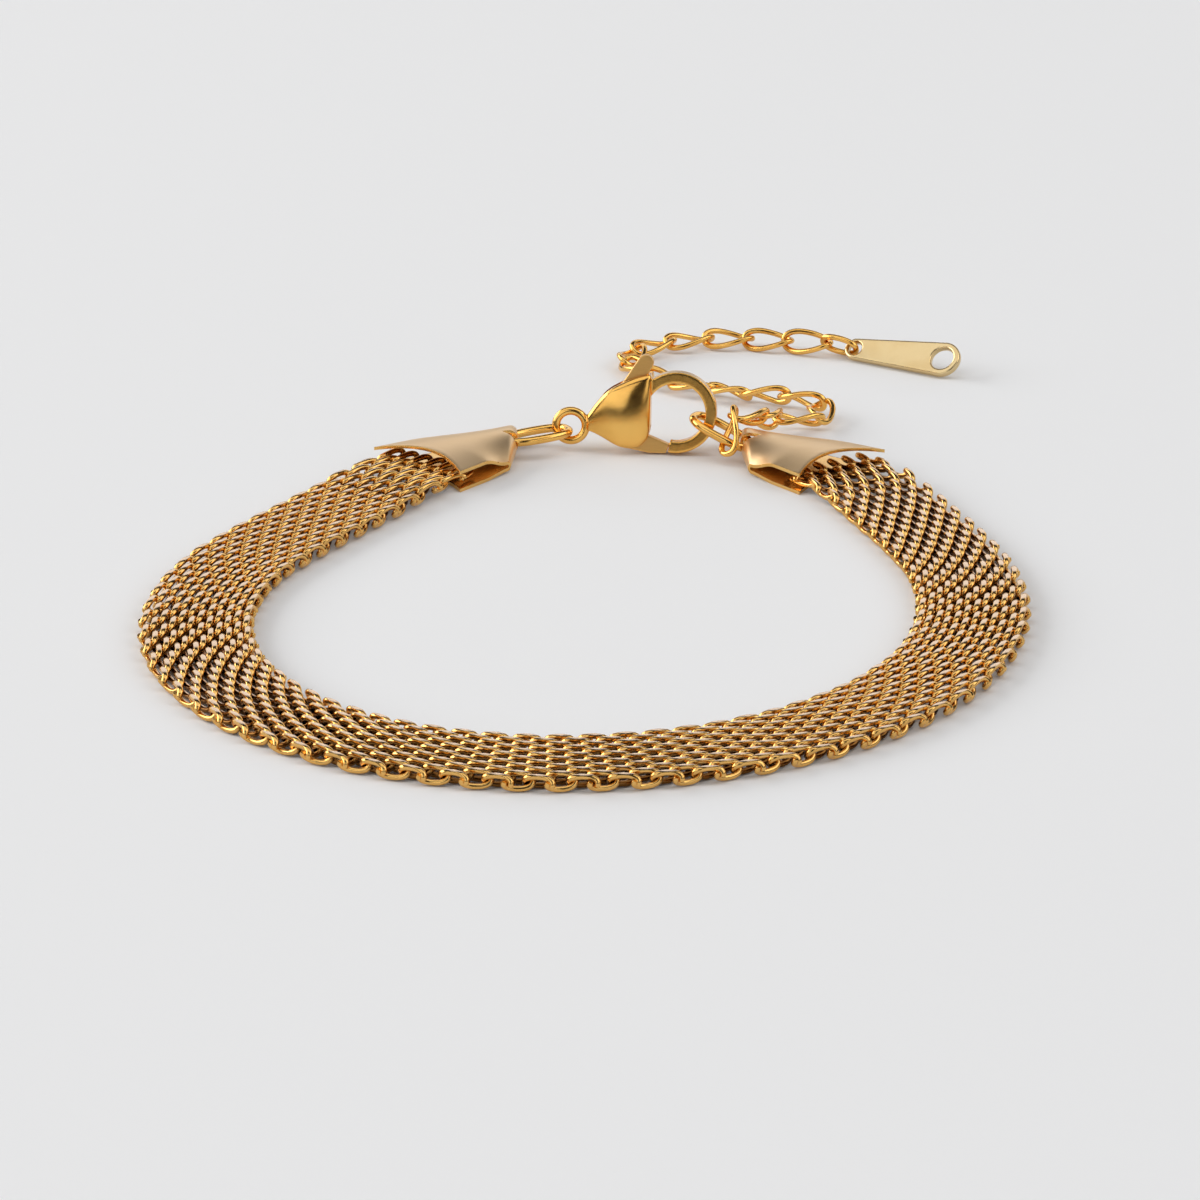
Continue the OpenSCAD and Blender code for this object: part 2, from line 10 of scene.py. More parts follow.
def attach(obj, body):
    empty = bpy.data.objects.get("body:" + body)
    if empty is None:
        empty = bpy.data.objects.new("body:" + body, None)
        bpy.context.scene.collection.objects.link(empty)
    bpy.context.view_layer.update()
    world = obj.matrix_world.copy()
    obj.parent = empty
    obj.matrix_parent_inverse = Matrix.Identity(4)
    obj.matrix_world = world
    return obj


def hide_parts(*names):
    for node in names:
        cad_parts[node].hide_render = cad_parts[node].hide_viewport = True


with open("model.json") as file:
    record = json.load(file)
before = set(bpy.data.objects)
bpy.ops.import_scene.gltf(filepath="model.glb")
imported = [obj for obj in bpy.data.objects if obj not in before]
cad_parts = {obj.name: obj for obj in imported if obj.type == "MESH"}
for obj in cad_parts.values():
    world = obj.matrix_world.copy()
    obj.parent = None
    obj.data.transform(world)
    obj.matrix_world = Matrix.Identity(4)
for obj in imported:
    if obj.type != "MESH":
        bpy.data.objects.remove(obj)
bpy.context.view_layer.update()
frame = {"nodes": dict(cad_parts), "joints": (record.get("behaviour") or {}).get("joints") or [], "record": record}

# The view: from the bracelet's front and 20.7 degrees above the surface that it lies on. The
# long lens takes in VIEW_WIDTH at VIEW_DISTANCE. Lengths in this file are in millimetres until
# a piece is made, and MM turns them into metres.
MM = 0.001
VIEW_ELEVATION = math.radians(20.7)
VIEW_DISTANCE = 432
VIEW_CENTRE = Vector((0.94, -10.73, 0))
VIEW_WIDTH = 84.8
SENSOR = 36
lens = bpy.data.cameras.new("camera")
lens.sensor_width = SENSOR
lens.lens = SENSOR * VIEW_DISTANCE / VIEW_WIDTH
lens.clip_start = 0.01
camera = bpy.data.objects.new("camera", lens)
towards_view = Vector((0, -math.cos(VIEW_ELEVATION), math.sin(VIEW_ELEVATION)))
camera.location = (VIEW_CENTRE + towards_view * VIEW_DISTANCE) * MM
camera.rotation_euler = (math.pi / 2 - VIEW_ELEVATION, 0, 0)
bpy.context.scene.collection.objects.link(camera)
bpy.context.scene.camera = camera
bpy.context.scene.view_settings.view_transform = "Standard"

# The surface that it lies on: a plain pale sheet, much larger than the picture. Soft light
# comes from pale cards overhead and on all sides, and the rest of the room is dark.
FLOOR_SIZE = 6000
FLOOR_COLOUR = (0.85, 0.85, 0.855)
CARD_DISTANCE = 2000
ROOM_LIGHT = 0.035


class Link:
    """A socket of a finish, on which sums and products can be written."""

    def __init__(self, finish, socket):
        self.finish = finish
        self.socket = socket

    def maths(self, operation, first, second):
        return self.finish.node("Math", {"operation": operation}, {0: first, 1: second})

    def __add__(self, other):
        return self.maths("ADD", self, other)

    __radd__ = __add__

    def __sub__(self, other):
        return self.maths("SUBTRACT", self, other)

    def __rsub__(self, other):
        return self.maths("SUBTRACT", other, self)

    def __mul__(self, other):
        return self.maths("MULTIPLY", self, other)

    __rmul__ = __mul__


class Finish:
    """A procedural surface: one material and what is built in its node tree."""

    def __init__(self, name, colour, roughness, metallic=1.0):
        self.material = bpy.data.materials.new(name)
        self.material.use_nodes = True
        self.tree = self.material.node_tree
        self.shader = self.tree.nodes["Principled BSDF"]
        self.set("Base Color", (*colour, 1))
        self.set("Roughness", roughness)
        self.set("Metallic", metallic)

    def set(self, socket, value):
        self.join(value, self.shader.inputs[socket])

    def join(self, value, socket):
        if isinstance(value, Link):
            self.tree.links.new(value.socket, socket)
        else:
            socket.default_value = value

    def node(self, kind, settings=None, sockets=None, out=0):
        made = self.tree.nodes.new("ShaderNode" + kind)
        for name, value in (settings or {}).items():
            setattr(made, name, value)
        for name, value in (sockets or {}).items():
            self.join(value, made.inputs[name])
        return Link(self, made.outputs[out])

    def place(self):
        return self.node("TexCoord", out="Object")

    def noise(self, size, detail=2.0, stretch=None):
        """Noise whose features are about that many millimetres, or stretched by axis."""
        at = self.place()
        if stretch:
            at = self.node("VectorMath", {"operation": "MULTIPLY"}, {0: at, 1: stretch})
        return self.node("TexNoise", None, {"Vector": at, "Scale": 1 / (size * MM), "Detail": detail})

    def step(self, value, low, high):
        """0 below low and 1 above high, smooth between them."""
        return self.node(
            "MapRange", {"interpolation_type": "SMOOTHSTEP"},
            {"Value": value, "From Min": low, "From Max": high})

    def blend(self, share, first, second):
        colours = [c if isinstance(c, Link) else (*c, 1) for c in (first, second)]
        return self.node(
            "Mix", {"data_type": "RGBA"}, {0: share, 6: colours[0], 7: colours[1]}, out=2)

    def bump(self, height, depth, strength=1.0):
        self.set("Normal", self.node(
            "Bump", None, {"Height": height, "Distance": depth * MM, "Strength": strength}))


floor_mesh = bpy.data.meshes.new("floor")
half_floor = FLOOR_SIZE / 2 * MM
floor_mesh.from_pydata(
    [(x * half_floor, y * half_floor, 0) for x, y in ((-1, -1), (1, -1), (1, 1), (-1, 1))],
    [], [(0, 1, 2, 3)])
floor = bpy.data.objects.new("floor", floor_mesh)
bpy.context.scene.collection.objects.link(floor)
floor_finish = Finish("pale_sheet", FLOOR_COLOUR, 0.9, metallic=0.0)
floor_finish.set("Specular IOR Level", 0.1)
floor_mesh.materials.append(floor_finish.material)


def card(name, side, height, wide, tall, brightness):
    """A flat soft light, facing the middle. side is its direction in plan in degrees, from the
    front towards the right, height is degrees above the floor, and wide and tall are degrees."""
    across, up = math.radians(side), math.radians(height)
    towards = Vector((math.sin(across) * math.cos(up), -math.cos(across) * math.cos(up), math.sin(up)))
    light = bpy.data.lights.new(name, "AREA")
    light.shape = "RECTANGLE"
    light.size = 2 * CARD_DISTANCE * math.tan(math.radians(wide / 2)) * MM
    light.size_y = 2 * CARD_DISTANCE * math.tan(math.radians(tall / 2)) * MM
    light.energy = brightness * math.pi * light.size * light.size_y
    lamp = bpy.data.objects.new(name, light)
    lamp.location = towards * CARD_DISTANCE * MM
    lamp.rotation_mode = "QUATERNION"
    lamp.rotation_quaternion = towards.to_track_quat("Z", "Y")
    bpy.context.scene.collection.objects.link(lamp)


card("ceiling", 0, 84, 95, 46, 1.05)
card("back", 175, 21, 95, 27, 1.02)
card("left", -105, 24, 62, 32, 3.85)
card("right", 80, 34, 50, 34, 1.38)
card("front left", -36, 25, 42, 34, 1.1)
card("front right", 34, 22, 34, 30, 0.9)
room = bpy.data.worlds.new("room")
room.use_nodes = True
room.node_tree.nodes["Background"].inputs["Color"].default_value = (1, 1, 1, 1)
room.node_tree.nodes["Background"].inputs["Strength"].default_value = ROOM_LIGHT
bpy.context.scene.world = room

# The woven band: about 120 flat coils of gold-plated steel wire, each running across the
# band. Every coil is turned through its neighbour's loops, a half turn apart, so the tops lie
# like bricks. The mesh is then rolled flat, which leaves a flat facet along each top. Those
# facets get a paler painted sheen, and the wires low in the band get painted shade.
BAND_LENGTH = 150
BAND_WIDTH = 8.3
BAND_THICKNESS = 1.3
BAND_END_THICKNESS = 0.9
BAND_HOLD = 2.4
BAND_RAMP = 9
BAND_PRESS = 4
REST_GAP = 0.02
CAP_SHEET = 0.25
CAP_MOUTH_GAP = 0.12
# Plan of the band's middle line: share of its length and turn in degrees, one row an arc
BAND_BENDS = [
    (0.13, 4), (0.11, 32), (0.13, 42), (0.12, 42), (0.13, 39), (0.13, 38), (0.13, 33), (0.08, 5),
    (0.04, 12)]
# Where it enters the left and the right cap
BAND_ENDS = np.array([(-12.699, 14.533), (18.959, 13.972)])
COIL_WIRE = 0.44
COIL_COUNT = 122
COIL_TURNS = 6
COIL_HALF_LENGTH = 0.93
COIL_PITCH = 1.28
COIL_CORNERS = 2.25
COIL_LEVEL = 0.5
COIL_STEPS = 22
COIL_SIDES = 10
COIL_HOOK = 0.06
COIL_CUT_OUT = 0.15
COIL_END_TAPER = 0.78
COIL_PLACE_STEPS = 2000
ROLLED_FLAT = 0.085
# How far the coils stray from their places, in degrees and millimetres
COIL_YAW = 1.2
COIL_TILT = 1.0
COIL_SHIFT = 0.03
# The coils near the caps are looser: from where, over what length, and by what shares
LOOSE_FROM = 2
LOOSE_REACH = 5.5
LOOSE_STRETCH = 0.30
LOOSE_LENGTHEN = 0.10
LOOSE_YAW = 2
LOOSE_TILT = 3
# How far the outermost loops are spared the painted shade, all the way down
EDGE_SHADE_FREE = 0.8
BAND_PIECES = 4


def ease(t):
    """0 below 0 and 1 above 1, smooth between them."""
    t = np.clip(t, 0, 1)
    return t * t * (3 - 2 * t)


def heading(degrees):
    """Directions in plan, one unit long."""
    angle = np.radians(degrees)
    return np.stack([np.cos(angle), np.sin(angle)], -1)


def arc_chord(length, turn, start):
    """Straight line from end to end of an arc that starts in the direction start."""
    half = np.radians(turn) / 2
    return (length * np.sinc(half / np.pi))[..., None] * heading(start + turn / 2)


def arc_corners(factor):
    """Ends of the band's arcs from its start, and the direction at each, for scaled bends."""
    lengths = np.array([b[0] for b in BAND_BENDS]) * BAND_LENGTH
    turns = np.array([b[1] for b in BAND_BENDS]) * factor
    starts = np.concatenate([[0], np.cumsum(turns)])
    corners = np.concatenate([[(0, 0)], np.cumsum(arc_chord(lengths, turns, starts[:-1]), 0)])
    return lengths, turns, starts, corners


def fitted_bends():
    """The bends scaled together until the band just reaches from cap to cap."""
    span = BAND_ENDS[1] - BAND_ENDS[0]
    low, high = 0.7, 1.3
    for _ in range(40):
        factor = (low + high) / 2
        if np.linalg.norm(arc_corners(factor)[3][-1]) > np.linalg.norm(span):
            low = factor
        else:
            high = factor
    lengths, turns, starts, corners = arc_corners(factor)
    turned = math.degrees(math.atan2(span[1], span[0]) - math.atan2(corners[-1][1], corners[-1][0]))
    c, s = math.cos(math.radians(turned)), math.sin(math.radians(turned))
    corners = corners @ np.array([(c, s), (-s, c)]) + BAND_ENDS[0]
    return lengths, turns, starts + turned, corners


bend_lengths, bend_turns, bend_starts, bend_corners = fitted_bends()


def on_band(s):
    """Place in plan and direction in degrees of the band's middle line at the length s."""
    ends = np.cumsum(bend_lengths)
    i = int(np.clip(np.searchsorted(ends, s), 0, len(ends) - 1))
    along = s - (ends[i] - bend_lengths[i])
    if s < 0:
        return bend_corners[0] + heading(bend_starts[0]) * s, bend_starts[0]
    if s > BAND_LENGTH:
        return bend_corners[-1] + heading(bend_starts[-1]) * (s - BAND_LENGTH), bend_starts[-1]
    turn = bend_turns[i] * along / bend_lengths[i]
    return bend_corners[i] + arc_chord(np.array(along), turn, bend_starts[i]), bend_starts[i] + turn


def tube(line, out, radius, sides, closed):
    """Points and faces of a round wire along a line. out points away from the bend."""
    line = np.asarray(line, float)
    if closed:
        ahead = np.roll(line, -1, 0) - np.roll(line, 1, 0)
    else:
        ahead = np.gradient(line, axis=0)
    ahead /= np.linalg.norm(ahead, axis=1)[:, None]
    out = out - ahead * (out * ahead).sum(1)[:, None]
    out /= np.linalg.norm(out, axis=1)[:, None]
    side = np.cross(ahead, out)
    angle = (np.arange(sides) + 0.5) * 2 * math.pi / sides
    radius = np.broadcast_to(np.asarray(radius, float), len(line))
    ring = np.cos(angle)[None, :, None] * out[:, None] + np.sin(angle)[None, :, None] * side[:, None]
    points = line[:, None] + radius[:, None, None] * ring
    n = len(line)
    faces = []
    for i in range(n if closed else n - 1):
        a, b = i * sides, (i + 1) % n * sides
        for j in range(sides):
            k = (j + 1) % sides
            faces.append((a + j, a + k, b + k, b + j))
    if not closed:
        faces.append(tuple(range(sides))[::-1])
        faces.append(tuple((n - 1) * sides + j for j in range(sides)))
    return points.reshape(-1, 3), faces


def coil_line(half_length, half_height, turned):
    """Middle line of one coil, as lengths along, across and up, and its outward directions.
    One end hooks down under the edge. The other is cut off square beside its neighbour's."""
    phase = np.linspace(-COIL_HOOK, COIL_TURNS + COIL_HOOK, COIL_TURNS * COIL_STEPS + 1)
    angle = 2 * math.pi * phase
    c, s = np.cos(angle), np.sin(angle)
    bow = 2 / COIL_CORNERS
    along = half_length * np.sign(c) * np.abs(c) ** bow
    up = half_height * np.sign(s) * np.abs(s) ** bow
    across = COIL_PITCH * (phase + COIL_LEVEL * np.sin(2 * angle) / (4 * math.pi) - COIL_TURNS / 2)
    edge = COIL_PITCH * COIL_TURNS / 2
    near_start = ease((COIL_HOOK - phase) / (2 * COIL_HOOK))
    near_end = ease((phase - COIL_TURNS + COIL_HOOK) / (2 * COIL_HOOK))
    across = np.clip(across, -edge, edge)
    if turned:
        along, up, c, s = -along, -up, -c, -s
        across = across - near_start * COIL_WIRE * COIL_CUT_OUT
    else:
        across = across + near_end * COIL_WIRE * COIL_CUT_OUT
    out = np.stack([c, np.zeros_like(c), s], 1)
    return np.stack([along, across, up], 1), out


def coil_places():
    """Lengths along the band at which the coils lie, further apart towards the caps."""
    first = COIL_HALF_LENGTH - BAND_HOLD
    s = np.linspace(first, BAND_LENGTH - first, COIL_PLACE_STEPS)
    near_cap = np.minimum(s, BAND_LENGTH - s)
    spacing = 1 + LOOSE_STRETCH * (1 - ease((near_cap - LOOSE_FROM) / LOOSE_REACH))
    count = np.concatenate([[0], np.cumsum(1 / spacing[1:])])
    return np.interp(np.linspace(0, count[-1], COIL_COUNT), count, s)


def spin(points, first, second, degrees):
    """Turns points from one axis towards another, both given by number."""
    turn = np.eye(3)
    turn[first, first] = turn[second, second] = math.cos(math.radians(degrees))
    turn[first, second] = math.sin(math.radians(degrees))
    turn[second, first] = -turn[first, second]
    return points @ turn


def coil(s, turned, luck):
    """Points and faces of the coil at s, and a mark for each point from 0 low in the band
    to 1 at its top, which sets how much painted shade it gets."""
    near_cap = min(s, BAND_LENGTH - s)
    lift = REST_GAP + (CAP_SHEET + CAP_MOUTH_GAP) * (1 - ease(near_cap / BAND_RAMP))
    thick = BAND_END_THICKNESS + (BAND_THICKNESS - BAND_END_THICKNESS) * ease(near_cap / BAND_PRESS)
    loose = 1 - ease((near_cap - LOOSE_FROM) / LOOSE_REACH)
    half_height = (thick - COIL_WIRE) / 2
    line, out = coil_line(COIL_HALF_LENGTH * (1 + LOOSE_LENGTHEN * loose), half_height, turned)
    radius = np.full(len(line), COIL_WIRE / 2)
    radius[[0, -1]] *= COIL_END_TAPER
    points, faces = tube(line, out, radius, COIL_SIDES, False)
    top = half_height + COIL_WIRE / 2 - ROLLED_FLAT * (1 - loose)
    points[:, 2] = np.clip(points[:, 2], -top, top)
    # The mark sets the painted shade on the wire finish; the outermost loops are spared it.
    height = points[:, 2] / (2 * top) + 0.5
    at_edge = ease((np.abs(points[:, 1]) - COIL_PITCH * (COIL_TURNS - 1) / 2) / COIL_WIRE)
    height = height + (1 - height) * at_edge * EDGE_SHADE_FREE
    points = spin(points, 0, 1, luck.uniform(-COIL_YAW, COIL_YAW) * (1 + LOOSE_YAW * loose))
    points = spin(points, 0, 2, luck.uniform(-COIL_TILT, COIL_TILT) * (1 + LOOSE_TILT * loose))
    points[:, 1] += luck.uniform(-COIL_SHIFT, COIL_SHIFT)
    place, direction = on_band(s)
    forward = heading(direction)
    inward = heading(direction + 90)
    plan = place + points[:, :1] * forward + points[:, 1:2] * inward
    level = np.maximum(points[:, 2] + lift + thick / 2, REST_GAP)
    return np.column_stack([plan, level]), faces, height


def joined(solids):
    """Several closed solids as one set of points and faces."""
    points, faces = [], []
    first = 0
    for some, more in solids:
        points.append(some)
        faces += [tuple(first + i for i in f) for f in more]
        first += len(some)
    return np.concatenate(points), faces


def new_piece(name, points, faces, finishes, marks=None):
    """A mesh object in millimetres with its finishes; marks is one value for each point."""
    mesh = bpy.data.meshes.new(name)
    mesh.from_pydata(np.asarray(points, float).tolist(), [], faces)
    for finish in finishes:
        mesh.materials.append(finish.material)
    if marks is not None:
        mesh.attributes.new("height", "FLOAT", "POINT").data.foreach_set("value", marks)
    made = bpy.data.objects.new(name, mesh)
    bpy.context.scene.collection.objects.link(made)
    return made


def work(piece):
    """Gives the piece the mesh that its modifiers make."""
    worked = piece.evaluated_get(bpy.context.evaluated_depsgraph_get())
    old = piece.data
    piece.data = bpy.data.meshes.new_from_object(worked)
    piece.modifiers.clear()
    bpy.data.meshes.remove(old)
    piece.data.name = piece.name


def settle(piece, node, sharp=40, body="root"):
    """Brings the piece to metres, gives it its body and hides the node it stands for."""
    piece.data.transform(Matrix.Scale(MM, 4))
    piece.data.polygons.foreach_set("use_smooth", [True] * len(piece.data.polygons))
    piece.data.set_sharp_from_angle(angle=math.radians(sharp))
    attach(piece, body)
    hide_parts(node)


WIRE_GOLD = (0.88, 0.53, 0.16)
WIRE_WORN = (0.62, 0.32, 0.09)
# Near-black brown laid on the wires low in the band: painted shade.
WIRE_PAINTED_SHADE = (0.16, 0.065, 0.015)
# Pale pinkish beige laid on the faces that look straight up: painted sheen.
WIRE_FACET_SHEEN = (0.92, 0.70, 0.52)
wire_finish = Finish("woven_wire_gold", WIRE_GOLD, 0.26)
# Faces that look straight up get the pale painted sheen, and are a little rougher.
facing = wire_finish.node("NewGeometry", out="Normal")
facing_up = wire_finish.node("SeparateXYZ", None, {0: facing}, out="Z")
facet = wire_finish.step(facing_up, 0.93, 0.995)
# Wires low in the band are darkened almost to black: painted shade in the depth of the weave.
in_band = wire_finish.node("Attribute", {"attribute_name": "height"}, out="Fac")
depth = 1 - wire_finish.step(in_band, 0.35, 0.8)
uneven = wire_finish.noise(1.6, 3)
warm = wire_finish.blend(uneven * 0.6, WIRE_GOLD, WIRE_WORN)
warm = wire_finish.blend(depth * 0.95, warm, WIRE_PAINTED_SHADE)
wire_finish.set("Base Color", wire_finish.blend(facet * 0.9, warm, WIRE_FACET_SHEEN))
wire_finish.set("Roughness", 0.12 + facet * 0.1 + wire_finish.noise(0.3) * 0.1)
wire_finish.bump(wire_finish.noise(0.12, 3), 0.005, 0.4)

luck = random.Random(7)
places = coil_places()
per_piece = math.ceil(COIL_COUNT / BAND_PIECES)
for part in range(BAND_PIECES):
    numbers = range(part * per_piece, min((part + 1) * per_piece, COIL_COUNT))
    coils = [coil(places[k], k % 2 == 1, luck) for k in numbers]
    points, faces = joined([made[:2] for made in coils])
    marks = np.concatenate([made[2] for made in coils])
    weave = new_piece(f"mesh_weave_{part + 1}", points, faces, [wire_finish], marks)
    settle(weave, "mesh_band")

# The end caps: one sheet of gold-plated steel each, folded over the band's end and pressed
# shut on it. The fold is cut out on both sides of a narrow strip, which holds the ring. The
# outside is brushed satin, and the cut edges and the inside are left bright.
CAP_FOLD_MIDDLES = {1: (-5.957, 19.7247), -1: (12.217, 19.1642)}
CAP_FRONT_LENGTH = 5.4
CAP_FOLD_WIDTH = 7.6
CAP_WEDGE = 50
CAP_FOLD_HEIGHT = 0.25
CAP_FOLD_ARCH = 1.2
CAP_ARCH = 0.6
CAP_MOUTH_CUT = 1.1
CAP_LIFT = 0.2
CAP_FLAT_MARGIN = 0.48
CAP_ACROSS = 48
CAP_PLATE_STEPS = 20
CAP_FOLD_STEPS = 18
CAP_EDGE = 0.045
CAP_EDGE_ANGLE = 50
RING_LENGTH = 5.5
RING_WIDTH = 3.3
RING_WIRE = 0.65
RING_ROOM = 0.17
STRIP_WIDTH = 0.7
CUTTER_HEIGHT = 4
CUTTER_STEPS = 24


def lie_of(node):
    """Middle of a symmetrical node, and its long, wide and thin directions."""
    seen = np.array([v.co for v in frame["nodes"][node].data.vertices]) / MM
    seen = np.unique(np.round(seen, 4), axis=0)
    middle = (seen.max(0) + seen.min(0)) / 2
    spread = np.linalg.eigh((seen - seen.mean(0)).T @ (seen - seen.mean(0)))[1]
    long, wide = spread[:, 2], spread[:, 1]
    return middle, long, wide, np.cross(long, wide)


def ring_lie(node):
    """The same for a ring, with its wide direction to the back and its thin one upwards."""
    middle, _, far, up = lie_of(node)
    far = far * np.sign(far[1])
    up = up * np.sign(up[2])
    return middle, np.cross(far, up), far, up


def placed(points, middle, x, y, z):
    """Points given along the three directions, put in their place."""
    points = np.asarray(points, float)
    return middle + points[:, :1] * x + points[:, 1:2] * y + points[:, 2:3] * z


def dome(v):
    """0 at 0 and at 1, and 1 halfway."""
    return 4 * v * (1 - v)


def cap_outline(v, outside):
    """One section of the sheet, at the share v of its width, from its lower mouth round the
    fold to its upper one. outside is 1 for its outer side and 0 for its inner one."""
    across = heading(90 + CAP_WEDGE)
    mouth_width = BAND_WIDTH + 2 * CAP_MOUTH_GAP
    start = np.array([0, CAP_FOLD_WIDTH * (v - 0.5)])
    mouth = np.array([0, -CAP_FOLD_WIDTH / 2]) + heading(180 + CAP_WEDGE) * CAP_FRONT_LENGTH
    mouth = mouth + across * mouth_width * v
    reach = np.linalg.norm(mouth - start)
    end = reach - CAP_MOUTH_CUT * dome(v)
    fold_height = CAP_FOLD_HEIGHT + CAP_FOLD_ARCH * dome(v)
    mouth_height = BAND_END_THICKNESS + 2 * CAP_MOUTH_GAP + CAP_ARCH * dome(v)
    plate = np.linspace(0, end, CAP_PLATE_STEPS)
    slope = ease(plate / (reach - BAND_HOLD - CAP_FLAT_MARGIN))
    low = REST_GAP + CAP_LIFT * (1 - slope)
    room = fold_height + (mouth_height - fold_height) * slope
    turn = np.radians(np.linspace(270, 90, CAP_FOLD_STEPS))[1:-1]
    radius = fold_height / 2 + CAP_SHEET * outside
    lower = np.column_stack([plate, low + CAP_SHEET * (1 - outside)])[::-1]
    middle = REST_GAP + CAP_LIFT + CAP_SHEET + fold_height / 2
    fold = np.column_stack([-radius * np.abs(np.cos(turn)), middle + radius * np.sin(turn)])
    upper = np.column_stack([plate, low + CAP_SHEET + room + CAP_SHEET * outside])
    ahead = (mouth - start) / reach
    outline = np.concatenate([lower, fold, upper])
    return np.column_stack([start + outline[:, :1] * ahead, outline[:, 1]])


def cap_sheet(side):
    """Points, faces and finish numbers of one cap's sheet, before its fold is cut out."""
    sections = []
    for v in np.linspace(0, 1, CAP_ACROSS + 1):
        outer, inner = cap_outline(v, 1), cap_outline(v, 0)
        sections.append(np.concatenate([outer, inner[::-1]]))
    n = len(sections[0])
    faces, finish_of = [], []
    for i in range(CAP_ACROSS):
        for j in range(n):
            k = (j + 1) % n
            faces.append((i * n + j, i * n + k, (i + 1) * n + k, (i + 1) * n + j))
            finish_of.append(0 if j < n // 2 - 1 else 1)
    for row in (0, CAP_ACROSS):
        for j in range(n // 2 - 1):
            quad = [row * n + j, row * n + n - 1 - j, row * n + n - 2 - j, row * n + j + 1]
            faces.append(tuple(quad if row == 0 else quad[::-1]))
            finish_of.append(1)
    points = np.concatenate(sections)
    points[:, 0] *= side
    points[:, :2] += CAP_FOLD_MIDDLES[side]
    if side < 0:
        faces = [f[::-1] for f in faces]
    return points, faces, finish_of


def ring_cutter(side, across):
    """Points and faces of the solid that opens the fold on one side of the strip."""
    r = RING_WIDTH / 2 + RING_ROOM
    arc_x = -side * (RING_LENGTH - RING_WIDTH) / 2
    edge = STRIP_WIDTH / 2
    turn = np.linspace(math.asin(edge / r), math.pi / 2, CUTTER_STEPS)
    outline = [(arc_x - side * r * math.cos(t), across * r * math.sin(t)) for t in turn]
    outline += [(0, across * r), (0, across * edge)]
    low = across * (RING_WIRE / 2 + RING_ROOM) - (CUTTER_HEIGHT if across > 0 else 0)
    n = len(outline)
    points = [(x, y, low + h) for h in (0, CUTTER_HEIGHT) for x, y in outline]
    faces = [(j, (j + 1) % n, n + (j + 1) % n, n + j) for j in range(n)]
    faces += [tuple(range(n))[::-1], tuple(range(n, 2 * n))]
    if side * across > 0:
        faces = [f[::-1] for f in faces]
    return points, faces


def cut(piece, cutter, operation="DIFFERENCE"):
    """Cuts one solid with another, or joins them. New faces take the other's finish."""
    change = piece.modifiers.new("cut", "BOOLEAN")
    change.operation = operation
    change.object = cutter
    change.solver = "EXACT"
    work(piece)
    bpy.data.objects.remove(cutter)


def round_edges(piece, width, steps, angle=30, finish=-1):
    """Rounds the piece's edges that are sharper than the angle in degrees."""
    change = piece.modifiers.new("edge", "BEVEL")
    change.width = width
    change.segments = steps
    change.limit_method = "ANGLE"
    change.angle_limit = math.radians(angle)
    change.material = finish
    work(piece)


CAP_SATIN = (0.86, 0.59, 0.30)
CAP_PALE = (0.88, 0.64, 0.40)
cap_finish = Finish("brushed_cap_gold", CAP_SATIN, 0.36)
brushed = cap_finish.noise(0.5, 4, stretch=(0.25, 3.0, 1.0))
clouds = cap_finish.noise(3.2, 2)
cap_finish.set("Base Color", cap_finish.blend(clouds * 0.9, CAP_SATIN, CAP_PALE))
cap_finish.set("Roughness", 0.3 + brushed * 0.16)
cap_finish.bump(brushed, 0.004, 0.35)


def polished(name, colour, deep, roughness, cloud=2.2):
    """Polished plating, a little uneven in tone, with fine wear."""
    finish = Finish(name, colour, roughness)
    tone = finish.step(finish.noise(cloud, 3), 0.35, 0.75)
    finish.set("Base Color", finish.blend(tone * 0.5, colour, deep))
    finish.set("Roughness", roughness + finish.noise(0.5, 3) * 0.1)
    finish.bump(finish.noise(0.35, 4), 0.004, 0.4)
    return finish


GOLD = (0.93, 0.54, 0.14)
GOLD_DEEP = (0.72, 0.34, 0.06)
CAP_EDGE_GOLD = (0.86, 0.54, 0.18)
edge_finish = polished("cap_edge_gold", CAP_EDGE_GOLD, GOLD_DEEP, 0.2)
for side, node in ((1, "end_cap_left"), (-1, "end_cap_right")):
    points, faces, finish_of = cap_sheet(side)
    cap = new_piece(f"{node}_sheet", points, faces, [cap_finish, edge_finish])
    cap.data.polygons.foreach_set("material_index", finish_of)
    ring = ring_lie("jump_ring_left" if side > 0 else "jump_ring_right")
    for across in (1, -1):
        points, faces = ring_cutter(side, across)
        cutter = new_piece("cutter", placed(points, *ring), faces, [cap_finish, edge_finish])
        cutter.data.polygons.foreach_set("material_index", [1] * len(faces))
        cut(cap, cutter)
    round_edges(cap, CAP_EDGE, steps=2, angle=CAP_EDGE_ANGLE, finish=1)
    settle(cap, node)

# The jump rings: two oval rings of round gold-plated wire, bent shut, which join the clasp to
# the caps. Each goes through a cap's fold, and the right one through the clasp's hook.
RING_BOW = 2.6
RING_STEPS = 72
RING_SIDES = 20


def oval_wire(length, width, wire, twist, bow, steps, sides):
    """An oval ring of round wire, long along X and flat in XY, twisted along its length. A
    larger bow gives it straighter sides."""
    direction = heading(np.linspace(0, 360, steps, endpoint=False))
    bent = np.sign(direction) * np.abs(direction) ** (2 / bow)
    line = np.column_stack([bent * ((length - wire) / 2, (width - wire) / 2), np.zeros(steps)])
    out = np.column_stack([direction, np.zeros(steps)])
    points, faces = tube(line, out, wire / 2, sides, True)
    turn = np.radians(-twist * points[:, 0] / length)
    y = points[:, 1] * np.cos(turn) - points[:, 2] * np.sin(turn)
    z = points[:, 1] * np.sin(turn) + points[:, 2] * np.cos(turn)
    return np.column_stack([points[:, 0], y, z]), faces


gold_finish = polished("polished_gold", GOLD, GOLD_DEEP, 0.12)
for node in ("jump_ring_left", "jump_ring_right"):
    points, faces = oval_wire(
        RING_LENGTH, RING_WIDTH, RING_WIRE, 0, RING_BOW, RING_STEPS, RING_SIDES)
    ring = new_piece(f"{node}_wire", placed(points, *lie_of(node)), faces, [gold_finish])
    settle(ring, node)

